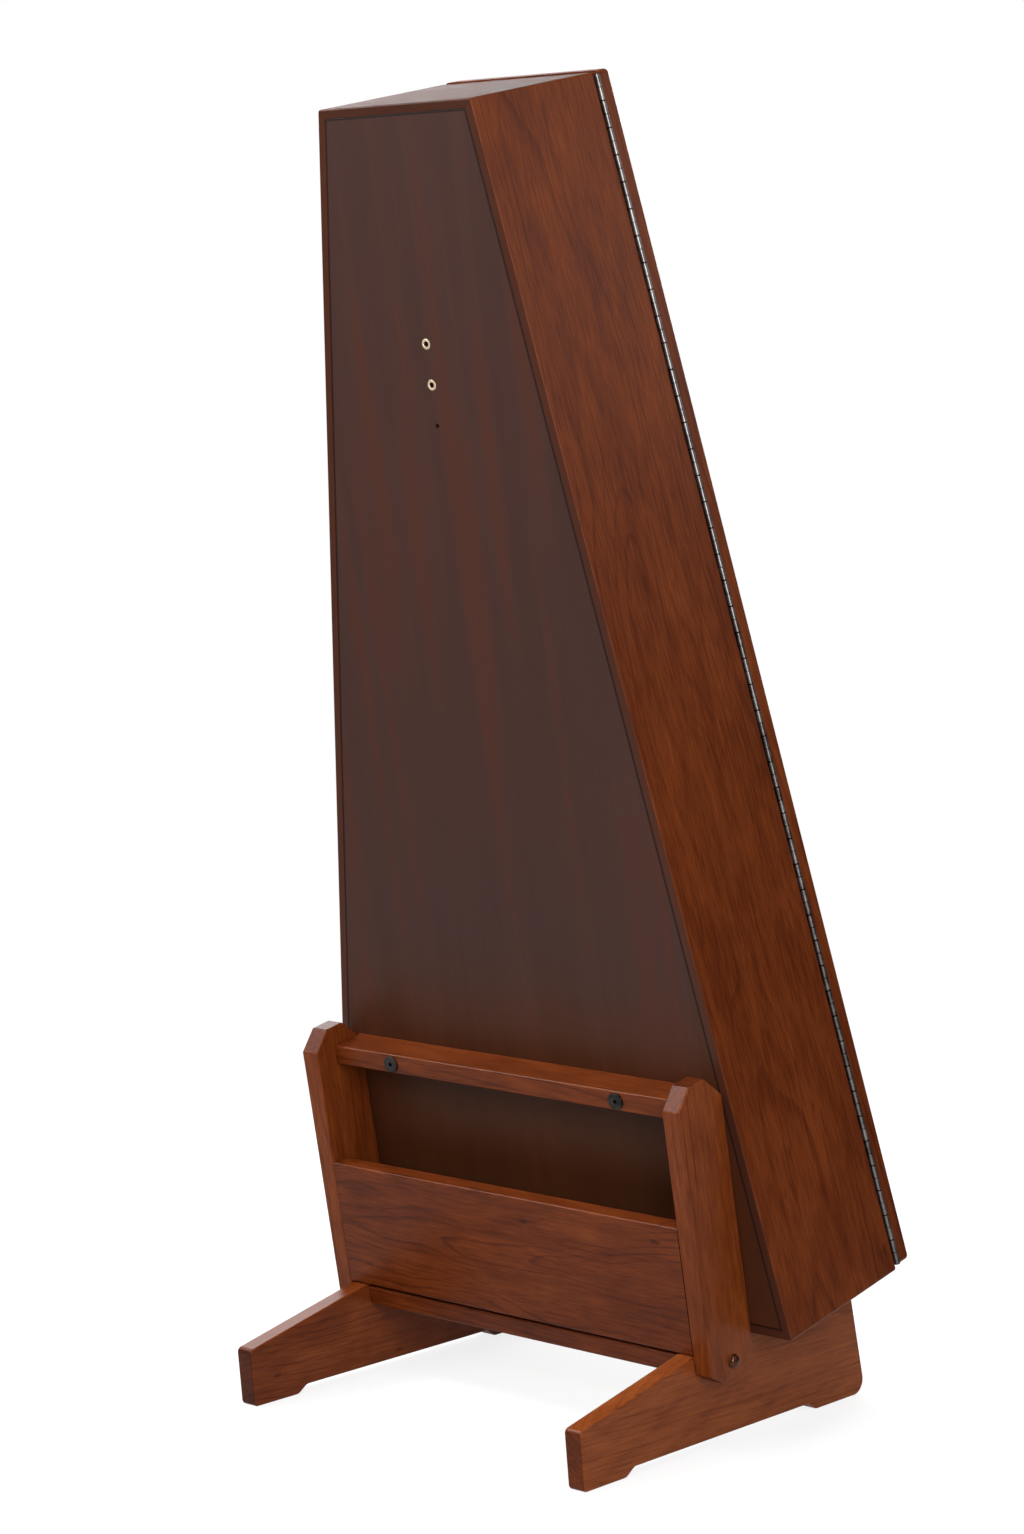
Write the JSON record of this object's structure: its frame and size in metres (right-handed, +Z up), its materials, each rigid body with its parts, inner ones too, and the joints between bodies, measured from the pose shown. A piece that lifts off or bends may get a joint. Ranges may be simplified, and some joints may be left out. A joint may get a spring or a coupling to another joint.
{
  "type": "leaning display cabinet on stand",
  "caption": "Tapered free-standing display cabinet with a glazed door on a full-length hinge, leaning back on a low wooden stand whose rear frame folds on two pins.",
  "frame": {"origin": "on the floor under the middle of the whole piece's box", "axes": "+Z up; the door faces -Y; the two feet mirror each other across X = 0"},
  "size_m": [0.57, 0.4547, 1.2822],
  "materials": {
    "stained_cherry": "satin reddish-brown stain on cherry",
    "dowel_wood": "raw beech",
    "back_panel": "dark brown matt stain",
    "brass": "plain turned",
    "black_steel": "black oxide",
    "hinge_steel": "nickel plated",
    "catch_plastic": "brown moulded",
    "sleeve_rubber": "foam rubber",
    "clear_glass": "clear float glass"
  },
  "bodies": {
    "base": {"foot_left": "stained_cherry", "foot_right": "stained_cherry", "stretcher": "stained_cherry", "stretcher_dowels": "dowel_wood", "pivot_pin_left": "black_steel", "pivot_pin_right": "black_steel"},
    "stand_frame": {"upright_left": "stained_cherry", "upright_right": "stained_cherry", "apron": "stained_cherry", "apron_dowels": "dowel_wood", "crossbar": "stained_cherry", "crossbar_dowels": "dowel_wood", "connector_bolts": "black_steel"},
    "cabinet": {"cabinet_side_left": "stained_cherry", "cabinet_side_right": "stained_cherry", "cabinet_top": "stained_cherry", "cabinet_bottom": "stained_cherry", "back_panel": "back_panel", "hanger_inserts": "brass", "crossbar_inserts": "brass", "hinge_leaf_cabinet": "hinge_steel", "hinge_screws_cabinet": "hinge_steel", "catch_body": "catch_plastic", "catch_poles": "hinge_steel", "catch_screws": "hinge_steel", "hanger_block": "stained_cherry", "hanger_bolts": "black_steel", "hinge_pin": "hinge_steel"},
    "hanger_fork": {"hanger_yoke": "black_steel", "yoke_sleeves": "sleeve_rubber", "yoke_nut": "hinge_steel"},
    "door": {"door_stile_hinge_side": "stained_cherry", "door_stile_knob_side": "stained_cherry", "door_rail_top": "stained_cherry", "door_rail_bottom": "stained_cherry", "door_glass": "clear_glass", "glass_bead_left": "stained_cherry", "glass_bead_right": "stained_cherry", "glass_bead_top": "stained_cherry", "glass_bead_bottom": "stained_cherry", "hinge_leaf_door": "hinge_steel", "hinge_screws_door": "hinge_steel", "strike_plate": "hinge_steel", "strike_screws": "hinge_steel", "door_knob": "stained_cherry", "knob_screw": "hinge_steel"}
  },
  "joints": [
    {"name": "cabinet_lift", "type": "slide", "parent": "base", "child": "cabinet", "axis": [0, -0.9781, 0.2079], "range_m": [0, 0.6]},
    {"name": "frame_fold", "type": "hinge", "parent": "base", "child": "stand_frame", "pos_m": [0, 0.01778, 0.08544], "axis": [1, 0, 0], "range_deg": [0, 90]},
    {"name": "door_swing", "type": "hinge", "parent": "cabinet", "child": "door", "pos_m": [-0.28479, -0.18518, 0.14303], "axis": [-0.1625, -0.2051, -0.9652], "range_deg": [0, 180]},
    {"name": "fork_swivel", "type": "hinge", "parent": "cabinet", "child": "hanger_fork", "pos_m": [0, 0.10695, 1.02442], "axis": [0, -0.9781, 0.2079], "range_deg": [-20, 20]}
  ],
  "couplings": [
    {"joint": "frame_fold", "follows": "cabinet_lift", "rad_per_m": 2.618}
  ]
}
